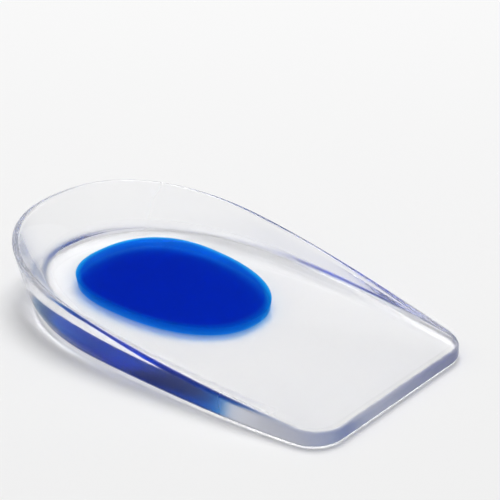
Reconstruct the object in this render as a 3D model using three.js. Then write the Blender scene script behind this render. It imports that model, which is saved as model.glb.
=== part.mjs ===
// Silicone heel spur insole: a clear heel cup with a softer blue plug set into its floor.
// Millimetres, +Z up. The toe end points to +X and the underside lies on Z = 0.
// The origin is under the middle of the cup. Outlines are given from the back of the heel.

import * as THREE from 'three';

const LENGTH = 107;

// Floor: its top falls slowly from the heel to the front edge
const HEEL_FLOOR = 6.4;
const FRONT_FLOOR = 3.2;
const FLOOR_POWER = 2.2;

// Wall: it rises most at the back of the heel and runs out just behind the front edge. The crease's rounding
// takes up at most a share of the wall where the wall is low.
const WALL_RISE = 11.2;
const WALL_REACH = 101;
const WALL_STRAIGHT = 0.5;
const LIP_RADIUS = 0.8;
const CREASE_RADIUS = 1.6;
const CREASE_MOST = 0.5;

// Rounded edge of the underside: its radius falls towards the front, between two distances from the back
const BASE_ROUND = { heel: 1.5, front: 1.0, taper_start: 60, taper_end: 100 };

// Outside of the wall: a power below one makes it bulge near its foot, above one makes it flare near the lip.
// It changes along the part with the distance from the back of the heel.
const FLARE = [
  { from_back: 0, power: 1.1 },
  { from_back: 28, power: 0.55 },
  { from_back: 40, power: 0.55 },
  { from_back: 68, power: 1.4 },
];
const FOOT_CROWDING = 1.6;

// Plug and its pocket: the pocket's skin keeps the plug off the underside
const POCKET_SKIN = 0.6;
const POCKET_DRAFT = 0.3;
const POCKET_ROUND = 0.5;
const PLUG_GAP = 0.25;

// Plan outlines: back, widest and front are distances from the back of the heel, half and toe are the half
// widths at the widest place and at the front, power is the squareness of the heel's curve, bend is the share
// of the side that the turn-in takes to start, and corner is the radius of the front corners.
const OUTLINES = {
  base: { back: 4.2, widest: 47.4, half: 31.5, power: 2.18, bend: 0.5, front: 107.0, toe: 26.3, corner: 8.0 },
  lip: { back: 0.8, widest: 44.2, half: 32.4, power: 2.33, bend: 0.36, front: 106.2, toe: 25.5, corner: 7.2 },
  crease: { back: 4.8, widest: 54.4, half: 28.7, power: 2.09, bend: 0.5, front: 104.3, toe: 24.2, corner: 5.2 },
};
const EGG = { back: 15.4, widest: 35.8, front: 66.5, half: 18.3, back_power: 2.33, front_power: 2.23 };

// Steps along half an outline, and across each stretch of the wall's section
const HEEL_STEPS = 22;
const SIDE_STEPS = 12;
const CORNER_STEPS = 6;
const FRONT_STEPS = 4;
const ROUND_STEPS = 3;
const WALL_STEPS = 6;
const FLOOR_STEPS = 5;
const POCKET_STEPS = 2;

const { lerp, smoothstep } = THREE.MathUtils;

function floorHeight(x) {
  return lerp(HEEL_FLOOR, FRONT_FLOOR, (x / LENGTH) ** FLOOR_POWER);
}

function wallHeight(x) {
  const left = Math.max(0, 1 - x / WALL_REACH);
  return WALL_RISE * lerp(left ** 2, left, WALL_STRAIGHT);
}

// Half of a plan outline as points from the back centre to the front centre, on the +Y side:
// a superellipse round the heel, a bend along the side, a corner arc and the straight front edge.
function halfOutline({ back, widest, half, power, bend, front, toe, corner }) {
  const points = [];
  for (let i = 0; i <= HEEL_STEPS; i++) {
    const angle = (i / HEEL_STEPS) * (Math.PI / 2);
    const along = Math.abs(Math.cos(angle)) ** (2 / power);
    const across = Math.sin(angle) ** (2 / power);
    points.push(new THREE.Vector2(widest - (widest - back) * along, half * across));
  }
  const turn = new THREE.Vector2(lerp(widest, front, bend), half);
  const tip = new THREE.Vector2(front, toe);
  const heading = tip.clone().sub(turn).normalize();
  const lean = Math.atan2(-heading.y, heading.x);
  const cut = corner * Math.tan((Math.PI / 2 - lean) / 2);
  const cornerStart = tip.clone().addScaledVector(heading, -cut);
  const side = new THREE.QuadraticBezierCurve(new THREE.Vector2(widest, half), turn, cornerStart);
  points.push(...side.getPoints(SIDE_STEPS).slice(1));
  const centre = new THREE.Vector2(front - corner, toe - cut);
  const arc = new THREE.EllipseCurve(centre.x, centre.y, corner, corner, Math.PI / 2 - lean, 0, true);
  points.push(...arc.getPoints(CORNER_STEPS).slice(1));
  const edge = new THREE.LineCurve(new THREE.Vector2(front, centre.y), new THREE.Vector2(front, 0));
  points.push(...edge.getPoints(FRONT_STEPS).slice(1));
  return points;
}

// The whole outline, closed by mirroring the half across the middle
function wholeOutline(half) {
  const mirrored = half.slice(1, -1).reverse().map((p) => new THREE.Vector2(p.x, -p.y));
  return [...half, ...mirrored];
}

// Unit vectors that point out of a closed outline at each of its points
function outwardNormals(outline) {
  const count = outline.length;
  return outline.map((p, i) => {
    const chord = outline[(i + 1) % count].clone().sub(outline[(i + count - 1) % count]);
    return new THREE.Vector2(-chord.y, chord.x).normalize();
  });
}

// The egg-shaped outline, at the same bearings from its widest place as the given points, grown by a margin
function eggOutline(bearings, margin) {
  return bearings.map((p) => {
    const toBack = p.x < EGG.widest;
    const reach = (toBack ? EGG.widest - EGG.back : EGG.front - EGG.widest) + margin;
    const half = EGG.half + margin;
    const power = toBack ? EGG.back_power : EGG.front_power;
    const angle = Math.atan2(p.y / half, (p.x - EGG.widest) / reach);
    const along = Math.sign(Math.cos(angle)) * Math.abs(Math.cos(angle)) ** (2 / power);
    const across = Math.sign(Math.sin(angle)) * Math.abs(Math.sin(angle)) ** (2 / power);
    return new THREE.Vector2(EGG.widest + reach * along, half * across);
  });
}

// A ring of points round the part, from a plan outline and a height for each of its points
function ring(outline, height) {
  return outline.map((p, i) => new THREE.Vector3(p.x - LENGTH / 2, p.y, height(p, i)));
}

// A closed solid: rings joined one to the next, with a flat cap inside the first and the last
function loft(rings) {
  const count = rings[0].length;
  const positions = rings.flat().flatMap((p) => p.toArray());
  const triangles = [];
  for (let r = 0; r + 1 < rings.length; r++) {
    for (let i = 0; i < count; i++) {
      const a = r * count + i;
      const b = r * count + ((i + 1) % count);
      triangles.push(a, b + count, b);
      triangles.push(a, a + count, b + count);
    }
  }
  const last = rings.length - 1;
  for (const [row, flip] of [[0, false], [last, true]]) {
    const middle = new THREE.Vector3();
    rings[row].forEach((p) => middle.addScaledVector(p, 1 / count));
    const hub = positions.length / 3;
    positions.push(...middle.toArray());
    for (let i = 0; i < count; i++) {
      const a = row * count + i;
      const b = row * count + ((i + 1) % count);
      triangles.push(...(flip ? [hub, b, a] : [hub, a, b]));
    }
  }
  const geometry = new THREE.BufferGeometry();
  geometry.setAttribute('position', new THREE.Float32BufferAttribute(positions, 3));
  geometry.setIndex(triangles);
  geometry.computeVertexNormals();
  return geometry;
}

const base = wholeOutline(halfOutline(OUTLINES.base));
const lip = wholeOutline(halfOutline(OUTLINES.lip));
const crease = wholeOutline(halfOutline(OUTLINES.crease));
const baseNormals = outwardNormals(base);
const lipNormals = outwardNormals(lip);
const creaseNormals = outwardNormals(crease);

const offset = (outline, normals, distance) =>
  outline.map((p, i) => p.clone().addScaledVector(normals[i], distance));
const between = (from, to, share) => from.map((p, i) => p.clone().lerp(to[i], share));
const lipTop = (i) => floorHeight(lip[i].x) + wallHeight(lip[i].x);
const steps = (count) => Array.from({ length: count }, (_, i) => (i + 1) / count);

const baseRadii = base.map((p) => {
  const { heel, front, taper_start, taper_end } = BASE_ROUND;
  return lerp(heel, front, smoothstep(p.x, taper_start, taper_end));
});

// The underside's edge and its rounded corner
function underside() {
  const inset = (share) => base.map((p, i) => p.clone().addScaledVector(baseNormals[i], -share * baseRadii[i]));
  const rings = [ring(inset(1), () => 0)];
  for (const share of steps(ROUND_STEPS)) {
    const angle = (share * Math.PI) / 2;
    rings.push(ring(inset(1 - Math.sin(angle)), (p, i) => baseRadii[i] * (1 - Math.cos(angle))));
  }
  return rings;
}

function flarePower(x) {
  const next = FLARE.findIndex((row) => row.from_back > x);
  if (next < 0) {
    return FLARE.at(-1).power;
  }
  const before = FLARE[next - 1];
  const after = FLARE[next];
  return lerp(before.power, after.power, smoothstep(x, before.from_back, after.from_back));
}

// The outside of the wall from the underside out to the lip, with its rings closest together near the foot
function outerWall() {
  const top = offset(lip, lipNormals, LIP_RADIUS);
  return steps(WALL_STEPS).map((step) => {
    const share = step ** FOOT_CROWDING;
    const outline = base.map((p, i) => p.clone().lerp(top[i], share ** flarePower(p.x)));
    return ring(outline, (p, i) => lerp(baseRadii[i], lipTop(i) - LIP_RADIUS, share));
  });
}

// How far the lip's inner side drops: its full radius on the wall, nothing where the wall has run out
function lipDrop(i) {
  return Math.min(LIP_RADIUS, wallHeight(lip[i].x) / 2);
}

// The rounded lip, over the top and down its inner side
function lipRound() {
  return steps(2 * ROUND_STEPS).map((share) => {
    const angle = share * Math.PI;
    const drop = LIP_RADIUS * (1 - Math.sin(angle));
    const height = (p, i) => lipTop(i) - (share <= 0.5 ? drop : (drop * lipDrop(i)) / LIP_RADIUS);
    return ring(offset(lip, lipNormals, LIP_RADIUS * Math.cos(angle)), height);
  });
}

// The inside of the wall down to the crease, and the rounded crease where it meets the floor
function innerWall() {
  const top = offset(lip, lipNormals, -LIP_RADIUS);
  const topHeight = (i) => lipTop(i) - lipDrop(i);
  const foot = (i) => floorHeight(crease[i].x);
  const slope = (i) => Math.hypot(top[i].distanceTo(crease[i]), topHeight(i) - foot(i));
  const fillet = (i) => Math.min(CREASE_MOST, CREASE_RADIUS / slope(i));
  const onWall = (share) => top.map((p, i) => p.clone().lerp(crease[i], share * (1 - fillet(i))));
  const wallHeightAt = (share, i) => lerp(topHeight(i), foot(i), share * (1 - fillet(i)));
  const rings = steps(WALL_STEPS).map((share) => ring(onWall(share), (p, i) => wallHeightAt(share, i)));
  const start = onWall(1);
  const end = offset(crease, creaseNormals, -CREASE_RADIUS);
  for (const share of steps(ROUND_STEPS)) {
    const outline = between(between(start, crease, share), between(crease, end, share), share);
    const weight = (1 - share) ** 2;
    rings.push(ring(outline, (p, i) => lerp(floorHeight(p.x), wallHeightAt(1, i), weight)));
  }
  return rings;
}

// The floor from the crease in to the pocket's edge
function floorRings() {
  const from = offset(crease, creaseNormals, -CREASE_RADIUS);
  const to = eggOutline(crease, 0);
  return steps(FLOOR_STEPS).map((share) => ring(between(from, to, share), (p) => floorHeight(p.x)));
}

// Side and rounded lower edge of the pocket or the plug, from its top edge down
function eggSide(margin, bottom) {
  const rings = [];
  const wall = eggOutline(crease, margin - POCKET_DRAFT);
  for (const share of steps(POCKET_STEPS)) {
    const outline = between(eggOutline(crease, margin), wall, share);
    rings.push(ring(outline, (p) => lerp(floorHeight(p.x), bottom + POCKET_ROUND, share)));
  }
  for (const share of steps(ROUND_STEPS)) {
    const angle = (share * Math.PI) / 2;
    const inset = margin - POCKET_DRAFT - POCKET_ROUND * (1 - Math.cos(angle));
    rings.push(ring(eggOutline(crease, inset), () => bottom + POCKET_ROUND * (1 - Math.sin(angle))));
  }
  return rings;
}

function heelCup() {
  const rings = [...underside(), ...outerWall(), ...lipRound(), ...innerWall(), ...floorRings()];
  rings.push(...eggSide(0, POCKET_SKIN));
  const material = new THREE.MeshStandardMaterial({ color: 0xe8edf1, roughness: 0.12, metalness: 0 });
  material.transparent = true;
  material.opacity = 0.4;
  return new THREE.Mesh(loft(rings), material);
}

// The plug: the pocket's shape drawn in by the gap, with its top following the floor
function softPlug() {
  const topEdge = eggOutline(crease, -PLUG_GAP);
  const middle = new THREE.Vector2(EGG.widest, 0);
  const rings = steps(FLOOR_STEPS).map((share) =>
    ring(topEdge.map((p) => middle.clone().lerp(p, share)), (p) => floorHeight(p.x)));
  rings.push(...eggSide(-PLUG_GAP, POCKET_SKIN + PLUG_GAP));
  const material = new THREE.MeshStandardMaterial({ color: 0x0330b8, roughness: 0.12, metalness: 0 });
  return new THREE.Mesh(loft(rings.reverse()), material);
}

const insole = new THREE.Group();
const cup = heelCup();
cup.name = 'heel_cup';
insole.add(cup);
const plug = softPlug();
plug.name = 'soft_plug';
insole.add(plug);

export default insole;
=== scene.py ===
import math

import bpy
import numpy as np
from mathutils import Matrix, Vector


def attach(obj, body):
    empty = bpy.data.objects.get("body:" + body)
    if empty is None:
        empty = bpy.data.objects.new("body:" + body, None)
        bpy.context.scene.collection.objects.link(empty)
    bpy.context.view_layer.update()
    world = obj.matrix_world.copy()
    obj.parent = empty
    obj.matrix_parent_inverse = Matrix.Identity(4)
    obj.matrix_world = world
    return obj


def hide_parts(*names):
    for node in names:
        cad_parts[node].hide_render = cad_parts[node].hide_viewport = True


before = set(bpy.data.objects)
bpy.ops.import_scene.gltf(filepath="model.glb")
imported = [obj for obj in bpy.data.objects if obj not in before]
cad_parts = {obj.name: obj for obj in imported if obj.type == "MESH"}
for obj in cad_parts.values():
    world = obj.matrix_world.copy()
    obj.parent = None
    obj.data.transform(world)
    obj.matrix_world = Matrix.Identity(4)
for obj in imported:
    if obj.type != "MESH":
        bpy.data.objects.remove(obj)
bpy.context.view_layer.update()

MM = 0.001

# The insole's sizes in millimetres, from the back of the heel, as in the part's source
LENGTH = 107.0
HEEL_FLOOR, FRONT_FLOOR, FLOOR_POWER = 6.4, 3.2, 2.2
WALL_RISE, WALL_REACH, WALL_STRAIGHT = 11.2, 101.0, 0.5
FLARE_AT, FLARE_POWER = (0, 28, 40, 68), (1.1, 0.55, 0.55, 1.4)
FOOT_CROWDING = 1.6
LIP_RADIUS = 0.8
BASE_AT, BASE_ROUND = (60, 100), (1.5, 1.0)
CREASE_RADIUS, CREASE_MOST = 1.6, 0.5
POCKET_SKIN, POCKET_DRAFT, POCKET_ROUND = 0.6, 0.3, 0.5
BOND_GAP = 0.02
OUTLINES = {
    "base": dict(back=4.2, widest=47.4, half=31.5, power=2.18, bend=0.5, front=107.0, toe=26.3, corner=8.0),
    "lip": dict(back=0.8, widest=44.2, half=32.4, power=2.33, bend=0.36, front=106.2, toe=25.5, corner=7.2),
    "crease": dict(back=4.8, widest=54.4, half=28.7, power=2.09, bend=0.5, front=104.3, toe=24.2, corner=5.2),
}
EGG = dict(back=15.4, widest=35.8, front=66.5, half=18.3, back_power=2.33, front_power=2.23)

# Steps along half an outline, and across each stretch of the wall's section
HEEL_STEPS, SIDE_STEPS, CORNER_STEPS, FRONT_STEPS = 110, 80, 24, 30
ROUND_STEPS, WALL_STEPS, FLOOR_STEPS, POCKET_STEPS = 10, 24, 26, 6
SHARP_ANGLE = math.radians(50)

# Clear silicone: how it bends light, its tint where light enters, with the clouds' size in millimetres,
# and its tint along the way
SILICONE_IOR = 1.41
CLEAR, CLOUDED, CLOUD_SIZE = (1.0, 1.0, 1.0), (0.99, 0.991, 0.996), 14
CLEAR_PASS, CLEAR_DENSITY = (0.7, 0.72, 0.84), 5.0

# Its roughness: polished inside, satin outside by the distance from the back, and dull in the fillet
# round the heel
POLISH, POLISH_SPOTS = (0.02, 0.04), 9
SATIN = [(0, 0.32), (10, 0.26), (24, 0.13), (60, 0.19), (80, 0.21), (92, 0.34), (104, 0.5)]
FILLET_POLISH, FILLET_DULL, FILLET_FADE = 0.03, 0.45, (88, 102)
CLEAR_WAVES = dict(size=6, height=0.008)

# Blue gel: tint where light enters at the middle of its top, at its edge and at its side, and along the way.
# The lighter tint at the top's edge is painted light, standing in for the light that reaches that edge
# through the clear silicone round it
GEL_MIDDLE, GEL_EDGE_LIGHT, GEL_EDGE_REACH = (0.02, 0.23, 0.83), (0.06, 0.68, 0.96), (0.93, 1.0)
GEL_SIDE, GEL_SIDE_HEIGHTS = (0.33, 0.76, 1.0), (0.65, 1.2)
GEL_PASS, GEL_DENSITY = (0.0, 0.67, 0.888), 250.0
GEL_POLISH, GEL_SPOTS = (0.03, 0.06), 11
GEL_WAVES = dict(size=5, height=0.01)

# Share of the light from the air that enters the cup's floor and the plug's top without a reflection
FLOOR_QUIET, GEL_QUIET = 0.95, 0.9

# Random patterns: their finer layers, and how much of their range is used, as they rarely reach its ends
CLOUD_DETAIL, CLOUD_RANGE = 1, (0.3, 0.7)

# Stage in metres: pale floor just under the part, a surround brightest towards one side, a soft key light
FLOOR_HALF, FLOOR_DROP, FLOOR_GREY = 6.0, 0.0001, (0.86, 0.86, 0.86, 1)
FLOOR_ROUGHNESS, FLOOR_GLOSS = 0.9, 0.1
SKY_TOP = (0.3, -0.35, 0.85)
SKY = [(-0.3, 0.3), (0.1, 0.36), (0.5, 0.85), (0.9, 1.15)]
SKY_STRENGTH = 0.58
KEY_PLACE, KEY_SIZE, KEY_POWER = (-0.42, 0.56, 1.67), 1.1, 20.3

# Camera: its place and the place it looks at, in millimetres, its lens, and the nearest it sees in metres
EYE, AIM = (186.29, -197.87, 150.73), (-14.42, 28.93, 3.0)
LENS, SENSOR, NEAREST = 95.08, 36, 0.01

# How often light may bend or bounce
LIGHT_BOUNCES, VOLUME_BOUNCES = 40, 12


def mix(a, b, share):
    return a + (b - a) * share


def eased(x, places, values):
    """A table's value at each x, with a smooth passage from row to row."""
    places, values = np.array(places), np.array(values)
    row = np.clip(np.searchsorted(places, x, side="right") - 1, 0, len(places) - 2)
    share = np.clip((x - places[row]) / (places[row + 1] - places[row]), 0, 1)
    return mix(values[row], values[row + 1], share * share * (3 - 2 * share))


def floor_height(x):
    return mix(HEEL_FLOOR, FRONT_FLOOR, (np.clip(x, 0, LENGTH) / LENGTH) ** FLOOR_POWER)


def wall_height(x):
    left = np.maximum(0, 1 - x / WALL_REACH)
    return WALL_RISE * mix(left**2, left, WALL_STRAIGHT)


def half_outline(back, widest, half, power, bend, front, toe, corner):
    """Half a plan outline on the +Y side: superellipse round the heel, bend, corner arc, front edge."""
    angle = np.linspace(0, np.pi / 2, HEEL_STEPS + 1)
    along = np.abs(np.cos(angle)) ** (2 / power)
    across = np.sin(angle) ** (2 / power)
    heel = np.stack([widest - (widest - back) * along, half * across], 1)
    turn = np.array([mix(widest, front, bend), half])
    tip = np.array([front, toe])
    heading = (tip - turn) / np.linalg.norm(tip - turn)
    lean = math.atan2(-heading[1], heading[0])
    cut = corner * math.tan((math.pi / 2 - lean) / 2)
    start = tip - heading * cut
    t = np.linspace(0, 1, SIDE_STEPS + 1)[1:, None]
    side = (1 - t) ** 2 * heel[-1] + 2 * t * (1 - t) * turn + t**2 * start
    centre = np.array([front - corner, toe - cut])
    turning = np.linspace(math.pi / 2 - lean, 0, CORNER_STEPS + 1)[1:]
    arc = centre + corner * np.stack([np.cos(turning), np.sin(turning)], 1)
    edge = np.stack([np.full(FRONT_STEPS, front), np.linspace(centre[1], 0, FRONT_STEPS + 1)[1:]], 1)
    return np.concatenate([heel, side, arc, edge])


def whole_outline(row):
    half = half_outline(**row)
    return np.concatenate([half, half[-2:0:-1] * [1, -1]])


def outward_normals(outline):
    chord = np.roll(outline, -1, 0) - np.roll(outline, 1, 0)
    normal = np.stack([-chord[:, 1], chord[:, 0]], 1)
    return normal / np.linalg.norm(normal, axis=1, keepdims=True)


def egg_outline(bearings, margin):
    """The egg-shaped outline at the same bearings from its widest place as the given points."""
    to_back = bearings[:, 0] < EGG["widest"]
    reach = np.where(to_back, EGG["widest"] - EGG["back"], EGG["front"] - EGG["widest"]) + margin
    half = EGG["half"] + margin
    power = np.where(to_back, EGG["back_power"], EGG["front_power"])
    angle = np.arctan2(bearings[:, 1] / half, (bearings[:, 0] - EGG["widest"]) / reach)
    along = np.sign(np.cos(angle)) * np.abs(np.cos(angle)) ** (2 / power)
    across = np.sign(np.sin(angle)) * np.abs(np.sin(angle)) ** (2 / power)
    return np.stack([EGG["widest"] + reach * along, half * across], 1)


def from_back(x):
    """A distance from the back of the heel in millimetres as a place along the part's X axis in metres."""
    return (x - LENGTH / 2) * MM


def ring(outline, height):
    """Points round the part in metres, in the part's frame, from a plan outline and its heights."""
    z = np.broadcast_to(height, len(outline)) * MM
    return np.column_stack([from_back(outline[:, 0]), outline[:, 1] * MM, z])


def steps(count):
    return (np.arange(count) + 1) / count


BASE, LIP, CREASE = (whole_outline(OUTLINES[name]) for name in ("base", "lip", "crease"))
BASE_OUT, LIP_OUT, CREASE_OUT = (outward_normals(line) for line in (BASE, LIP, CREASE))
BASE_RADIUS = eased(BASE[:, 0], BASE_AT, BASE_ROUND)
LIP_TOP = floor_height(LIP[:, 0]) + wall_height(LIP[:, 0])
LIP_DROP = np.minimum(LIP_RADIUS, wall_height(LIP[:, 0]) / 2)


def underside():
    inward = -BASE_OUT * BASE_RADIUS[:, None]
    rings = [ring(BASE + inward, 0)]
    for angle in steps(ROUND_STEPS) * math.pi / 2:
        rings.append(ring(BASE + inward * (1 - math.sin(angle)), BASE_RADIUS * (1 - math.cos(angle))))
    return rings


def outer_wall():
    top = LIP + LIP_OUT * LIP_RADIUS
    power = eased(BASE[:, 0], FLARE_AT, FLARE_POWER)[:, None]
    return [
        ring(mix(BASE, top, share**power), mix(BASE_RADIUS, LIP_TOP - LIP_RADIUS, share))
        for share in steps(WALL_STEPS) ** FOOT_CROWDING
    ]


def lip_round():
    rings = []
    for share in steps(2 * ROUND_STEPS):
        angle = share * math.pi
        drop = LIP_RADIUS * (1 - math.sin(angle))
        fall = drop if share <= 0.5 else drop * LIP_DROP / LIP_RADIUS
        rings.append(ring(LIP + LIP_OUT * LIP_RADIUS * math.cos(angle), LIP_TOP - fall))
    return rings


def inner_wall():
    """The wall's straight inner face, then the fillet that ends on the floor."""
    top = LIP - LIP_OUT * LIP_RADIUS
    top_height = LIP_TOP - LIP_DROP
    foot = floor_height(CREASE[:, 0])
    slope = np.hypot(np.linalg.norm(top - CREASE, axis=1), top_height - foot)
    wall_share = 1 - np.minimum(CREASE_MOST, CREASE_RADIUS / slope)
    rings = []
    for share in steps(WALL_STEPS)[:, None] * wall_share:
        start, start_height = mix(top, CREASE, share[:, None]), mix(top_height, foot, share)
        rings.append(ring(start, start_height))
    end = CREASE - CREASE_OUT * CREASE_RADIUS
    for share in steps(ROUND_STEPS):
        outline = mix(mix(start, CREASE, share), mix(CREASE, end, share), share)
        rings.append(ring(outline, mix(floor_height(outline[:, 0]), start_height, (1 - share) ** 2)))
    return rings


def floor_rings():
    start, end = CREASE - CREASE_OUT * CREASE_RADIUS, egg_outline(CREASE, 0)
    lines = [mix(start, end, share) for share in steps(FLOOR_STEPS)]
    return [ring(line, floor_height(line[:, 0])) for line in lines]


def egg_side(margin, bottom):
    """Side and rounded lower edge of the pocket or the plug, from its top edge down."""
    rings = []
    top, wall = egg_outline(CREASE, margin), egg_outline(CREASE, margin - POCKET_DRAFT)
    for share in steps(POCKET_STEPS):
        line = mix(top, wall, share)
        rings.append(ring(line, mix(floor_height(line[:, 0]), bottom + POCKET_ROUND, share)))
    for angle in steps(ROUND_STEPS) * math.pi / 2:
        inset = margin - POCKET_DRAFT - POCKET_ROUND * (1 - math.cos(angle))
        rings.append(ring(egg_outline(CREASE, inset), bottom + POCKET_ROUND * (1 - math.sin(angle))))
    return rings


def loft(name, rings, marks):
    """A closed mesh: rings joined one to the next and capped at both ends, with some rows of faces marked."""
    count = len(rings[0])
    hubs = [rings[0].mean(0), rings[-1].mean(0)]
    points = np.concatenate([*rings, hubs])
    here = np.arange(count)
    after = (here + 1) % count
    quads = []
    for row in range(len(rings) - 1):
        a, b = row * count + here, row * count + after
        quads.append(np.stack([a, a + count, b + count, b], 1))
    last = (len(rings) - 1) * count
    hub = len(rings) * count
    first_cap = np.stack([np.full(count, hub), here, after], 1)
    last_cap = np.stack([np.full(count, hub + 1), last + after, last + here], 1)
    faces = np.concatenate(quads).tolist() + first_cap.tolist() + last_cap.tolist()
    face_rows = np.repeat([*range(len(rings) - 1), -1, len(rings) - 1], count)
    mesh = bpy.data.meshes.new(name)
    mesh.from_pydata(points.tolist(), [], faces)
    for mark, rows in marks.items():
        marked = np.isin(face_rows, list(rows)).astype(np.float32)
        mesh.attributes.new(mark, "FLOAT", "FACE").data.foreach_set("value", marked)
    mesh.polygons.foreach_set("use_smooth", np.ones(len(faces), bool))
    mesh.set_sharp_from_angle(angle=SHARP_ANGLE)
    mesh.validate()
    piece = bpy.data.objects.new(name, mesh)
    bpy.context.scene.collection.objects.link(piece)
    return piece


def heel_cup():
    outside = [*underside(), *outer_wall()]
    rings = [*outside, *lip_round(), *inner_wall()]
    fillet = len(rings) - 1 - ROUND_STEPS
    rings += floor_rings()
    edge = len(rings) - 1
    rings += egg_side(0, POCKET_SKIN)
    marks = {
        "satin": range(len(outside) + ROUND_STEPS),
        "fillet": range(fillet, fillet + ROUND_STEPS),
        "floor": range(fillet, edge),
        "bonded": range(edge, len(rings)),
    }
    return loft("clear_cup", rings, marks)


def gel_plug():
    """The plug from its underside up, each point of its top marked with its share of the way to the edge,
    which sets the painted light along that edge.
    """
    edge = egg_outline(CREASE, -BOND_GAP)
    middle = np.array([EGG["widest"], 0.0])
    lines = [mix(middle, edge, share) for share in steps(FLOOR_STEPS)]
    rings = [ring(line, floor_height(line[:, 0])) for line in lines]
    rings += egg_side(-BOND_GAP, POCKET_SKIN + BOND_GAP)
    rings.reverse()
    side_rings = len(rings) - FLOOR_STEPS
    piece = loft("gel_plug", rings, {"bonded": range(-1, side_rings)})
    outward = np.concatenate([np.ones(side_rings), steps(FLOOR_STEPS)[::-1]])
    # Share of the way to the top's edge: the mask of the painted light at that edge
    edge_light = np.append(np.repeat(outward, len(edge)), [1, 0]).astype(np.float32)
    piece.data.attributes.new("edge_light", "FLOAT", "POINT").data.foreach_set("value", edge_light)
    return piece


def shader(tree, kind, **values):
    """A shader node of the given kind, with its named sockets set."""
    node = tree.nodes.new("ShaderNode" + kind)
    for socket, value in values.items():
        node.inputs[socket.replace("_", " ")].default_value = value
    return node


def mixed(tree, share, first, second):
    """The first shader blended into the second by a node's output."""
    node = tree.nodes.new("ShaderNodeMixShader")
    tree.links.new(share, node.inputs["Fac"])
    tree.links.new(first, node.inputs[1])
    tree.links.new(second, node.inputs[2])
    return node.outputs["Shader"]


def mark_share(tree, name):
    """The value of a mark that the mesh carries."""
    mark = tree.nodes.new("ShaderNodeAttribute")
    mark.attribute_name = name
    return mark.outputs["Fac"]


def part_place(tree):
    return tree.nodes.new("ShaderNodeTexCoord").outputs["Object"]


def part_axis(tree, axis):
    """How far a point lies along one axis of the part, in metres."""
    split = tree.nodes.new("ShaderNodeSeparateXYZ")
    tree.links.new(part_place(tree), split.inputs[0])
    return split.outputs[axis]


def ranged(tree, value, source, target):
    """A node's output taken from one range to another, and held at its ends."""
    node = tree.nodes.new("ShaderNodeMapRange")
    for socket, number in zip(("From Min", "From Max", "To Min", "To Max"), (*source, *target)):
        node.inputs[socket].default_value = number
    tree.links.new(value, node.inputs["Value"])
    return node.outputs["Result"]


def from_table(tree, value, rows):
    """A grey that follows a node's output through rows of places and brightnesses."""
    start, end = rows[0][0], rows[-1][0]
    ramp = tree.nodes.new("ShaderNodeValToRGB")
    elements = ramp.color_ramp.elements
    while len(elements) < len(rows):
        elements.new(1.0)
    for element, (place, brightness) in zip(elements, rows):
        element.position = (place - start) / (end - start)
        element.color = (brightness, brightness, brightness, 1)
    tree.links.new(ranged(tree, value, (start, end), (0, 1)), ramp.inputs["Fac"])
    return ramp.outputs["Color"]


def combined(tree, operation, first, second):
    node = tree.nodes.new("ShaderNodeMath")
    node.operation = operation
    tree.links.new(first, node.inputs[0])
    tree.links.new(second, node.inputs[1])
    return node.outputs["Value"]


def cloud(tree, size):
    """A soft random pattern with spots of the given size in millimetres."""
    noise = tree.nodes.new("ShaderNodeTexNoise")
    noise.inputs["Scale"].default_value = 1 / (size * MM)
    noise.inputs["Detail"].default_value = CLOUD_DETAIL
    tree.links.new(part_place(tree), noise.inputs["Vector"])
    return noise.outputs["Fac"]


def blend(tree, share, first, second):
    """A colour between two others."""
    node = tree.nodes.new("ShaderNodeMix")
    node.data_type = "RGBA"
    node.inputs["A"].default_value = (*first, 1)
    node.inputs["B"].default_value = (*second, 1)
    tree.links.new(share, node.inputs["Factor"])
    return node.outputs["Result"]


def waves(tree, size, height):
    """A gently uneven surface, with waves of the given size and height in millimetres."""
    bump = tree.nodes.new("ShaderNodeBump")
    bump.inputs["Strength"].default_value = 1
    bump.inputs["Distance"].default_value = height * MM
    tree.links.new(cloud(tree, size), bump.inputs["Height"])
    return bump.outputs["Normal"]


def from_outside(tree, share):
    """A share for light that meets a surface from the air, and nought from within."""
    facing = tree.nodes.new("ShaderNodeNewGeometry").outputs["Backfacing"]
    return ranged(tree, facing, (0, 1), (share, 0))


def new_material(name):
    material = bpy.data.materials.new(name)
    material.use_nodes = True
    tree = material.node_tree
    air = tree.nodes["Principled BSDF"]
    air.inputs["IOR"].default_value = SILICONE_IOR
    air.inputs["Transmission Weight"].default_value = 1
    return material, tree, air


def close_surface(tree, open_face, bonded_face, colour, density):
    """The material's output: its open face, the face bonded to the other piece, and the tint inside."""
    output = tree.nodes["Material Output"]
    surface = mixed(tree, mark_share(tree, "bonded"), open_face, bonded_face.outputs["BSDF"])
    tree.links.new(surface, output.inputs["Surface"])
    inside = shader(tree, "VolumeAbsorption", Color=(*colour, 1), Density=density)
    tree.links.new(inside.outputs["Volume"], output.inputs["Volume"])


def satin_finish(tree):
    """Roughness of the clear silicone: polished inside, satin outside and duller at both ends."""
    satin = from_table(tree, part_axis(tree, "X"), [(from_back(x), dull) for x, dull in SATIN])
    outside = combined(tree, "MULTIPLY", mark_share(tree, "satin"), satin)
    return combined(tree, "ADD", outside, ranged(tree, cloud(tree, POLISH_SPOTS), CLOUD_RANGE, POLISH))


def fillet_finish(tree):
    """Roughness of the floor: polished, and dull in the fillet round the heel."""
    fade = [from_back(x) for x in FILLET_FADE]
    round_heel = ranged(tree, part_axis(tree, "X"), fade, (1, 0))
    fillet = combined(tree, "MULTIPLY", mark_share(tree, "fillet"), round_heel)
    return ranged(tree, fillet, (0, 1), (FILLET_POLISH, FILLET_DULL))


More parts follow.
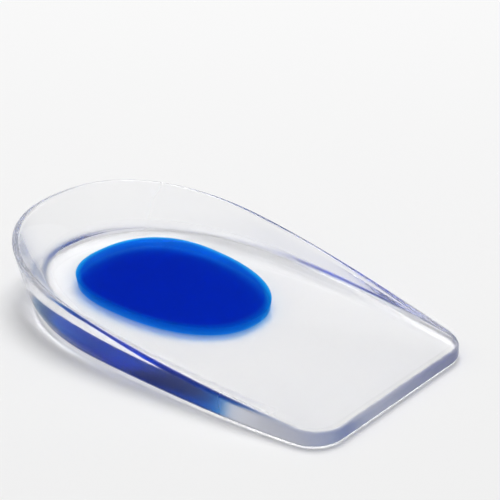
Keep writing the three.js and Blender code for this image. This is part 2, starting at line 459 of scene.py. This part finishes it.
def clear_silicone():
    material, tree, air = new_material("clear_silicone")
    tree.links.new(blend(tree, cloud(tree, CLOUD_SIZE), CLEAR, CLOUDED), air.inputs["Base Color"])
    tree.links.new(satin_finish(tree), air.inputs["Roughness"])
    tree.links.new(waves(tree, **CLEAR_WAVES), air.inputs["Normal"])
    quiet = shader(tree, "BsdfRefraction", Color=(1, 1, 1, 1), IOR=SILICONE_IOR)
    tree.links.new(fillet_finish(tree), quiet.inputs["Roughness"])
    share = combined(tree, "MULTIPLY", mark_share(tree, "floor"), from_outside(tree, FLOOR_QUIET))
    face = mixed(tree, share, air.outputs["BSDF"], quiet.outputs["BSDF"])
    bond = shader(tree, "BsdfPrincipled", Base_Color=(1, 1, 1, 1), Roughness=0, IOR=1, Transmission_Weight=1)
    close_surface(tree, face, bond, CLEAR_PASS, CLEAR_DENSITY)
    return material


def squared(tint):
    """A tint for a shader that takes the square root of its colour at each crossing."""
    return [t * t for t in tint]


def blue_gel():
    material, tree, air = new_material("blue_gel")
    quiet = shader(tree, "BsdfRefraction", IOR=SILICONE_IOR)
    # The top's tint lightens towards its edge: painted light standing in for the light that reaches the edge
    # through the clear silicone round it
    edge_light = ranged(tree, mark_share(tree, "edge_light"), GEL_EDGE_REACH, (0, 1))
    tree.links.new(blend(tree, edge_light, squared(GEL_MIDDLE), squared(GEL_EDGE_LIGHT)), air.inputs["Base Color"])
    tree.links.new(blend(tree, edge_light, GEL_MIDDLE, GEL_EDGE_LIGHT), quiet.inputs["Color"])
    finish = ranged(tree, cloud(tree, GEL_SPOTS), CLOUD_RANGE, GEL_POLISH)
    uneven = waves(tree, **GEL_WAVES)
    for layer in (air, quiet):
        tree.links.new(finish, layer.inputs["Roughness"])
        tree.links.new(uneven, layer.inputs["Normal"])
    face = mixed(tree, from_outside(tree, GEL_QUIET), air.outputs["BSDF"], quiet.outputs["BSDF"])
    bond = shader(tree, "BsdfPrincipled", Roughness=0, IOR=1, Transmission_Weight=1)
    height = ranged(tree, part_axis(tree, "Z"), [z * MM for z in GEL_SIDE_HEIGHTS], (0, 1))
    tree.links.new(blend(tree, height, (1, 1, 1), squared(GEL_SIDE)), bond.inputs["Base Color"])
    close_surface(tree, face, bond, GEL_PASS, GEL_DENSITY)
    return material


def pale_floor():
    corners = [(-1, -1), (1, -1), (1, 1), (-1, 1)]
    mesh = bpy.data.meshes.new("floor")
    mesh.from_pydata([(x * FLOOR_HALF, y * FLOOR_HALF, 0) for x, y in corners], [], [(0, 1, 2, 3)])
    floor = bpy.data.objects.new("floor", mesh)
    floor.location.z = -FLOOR_DROP
    bpy.context.scene.collection.objects.link(floor)
    material = bpy.data.materials.new("floor")
    material.use_nodes = True
    paint = material.node_tree.nodes["Principled BSDF"]
    paint.inputs["Base Color"].default_value = FLOOR_GREY
    paint.inputs["Roughness"].default_value = FLOOR_ROUGHNESS
    paint.inputs["Specular IOR Level"].default_value = FLOOR_GLOSS
    mesh.materials.append(material)


def sky():
    """A studio surround, brightest towards SKY_TOP and dimmest opposite it."""
    world = bpy.data.worlds.new("studio")
    world.use_nodes = True
    bpy.context.scene.world = world
    nodes, links = world.node_tree.nodes, world.node_tree.links
    place = nodes.new("ShaderNodeTexCoord")
    towards = nodes.new("ShaderNodeVectorMath")
    towards.operation = "DOT_PRODUCT"
    towards.inputs[1].default_value = Vector(SKY_TOP).normalized()
    links.new(place.outputs["Generated"], towards.inputs[0])
    back = nodes["Background"]
    links.new(from_table(world.node_tree, towards.outputs["Value"], SKY), back.inputs["Color"])
    back.inputs["Strength"].default_value = SKY_STRENGTH


def key_light():
    light = bpy.data.lights.new("key", "AREA")
    light.shape = "DISK"
    light.size = KEY_SIZE
    light.energy = KEY_POWER
    lamp = bpy.data.objects.new("key", light)
    lamp.location = KEY_PLACE
    lamp.rotation_euler = (-Vector(KEY_PLACE)).to_track_quat("-Z", "Y").to_euler()
    bpy.context.scene.collection.objects.link(lamp)


def camera():
    eye, aim = Vector(EYE) * MM, Vector(AIM) * MM
    data = bpy.data.cameras.new("camera")
    data.sensor_width = SENSOR
    data.lens = LENS
    data.clip_start = NEAREST
    view = bpy.data.objects.new("camera", data)
    view.location = eye
    view.rotation_euler = (aim - eye).to_track_quat("-Z", "Y").to_euler()
    bpy.context.scene.collection.objects.link(view)
    bpy.context.scene.camera = view


def light_paths():
    """Enough bounces for light to find its way out of two clear solids, and plain display colours."""
    scene = bpy.context.scene
    scene.view_settings.view_transform = "Standard"
    scene.cycles.max_bounces = LIGHT_BOUNCES
    scene.cycles.transmission_bounces = LIGHT_BOUNCES
    scene.cycles.glossy_bounces = LIGHT_BOUNCES
    scene.cycles.volume_bounces = VOLUME_BOUNCES
    scene.cycles.blur_glossy = 0


cup = heel_cup()
cup.data.materials.append(clear_silicone())
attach(cup, "root")
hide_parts("heel_cup")

plug = gel_plug()
plug.data.materials.append(blue_gel())
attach(plug, "root")
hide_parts("soft_plug")

pale_floor()
sky()
key_light()
camera()
light_paths()
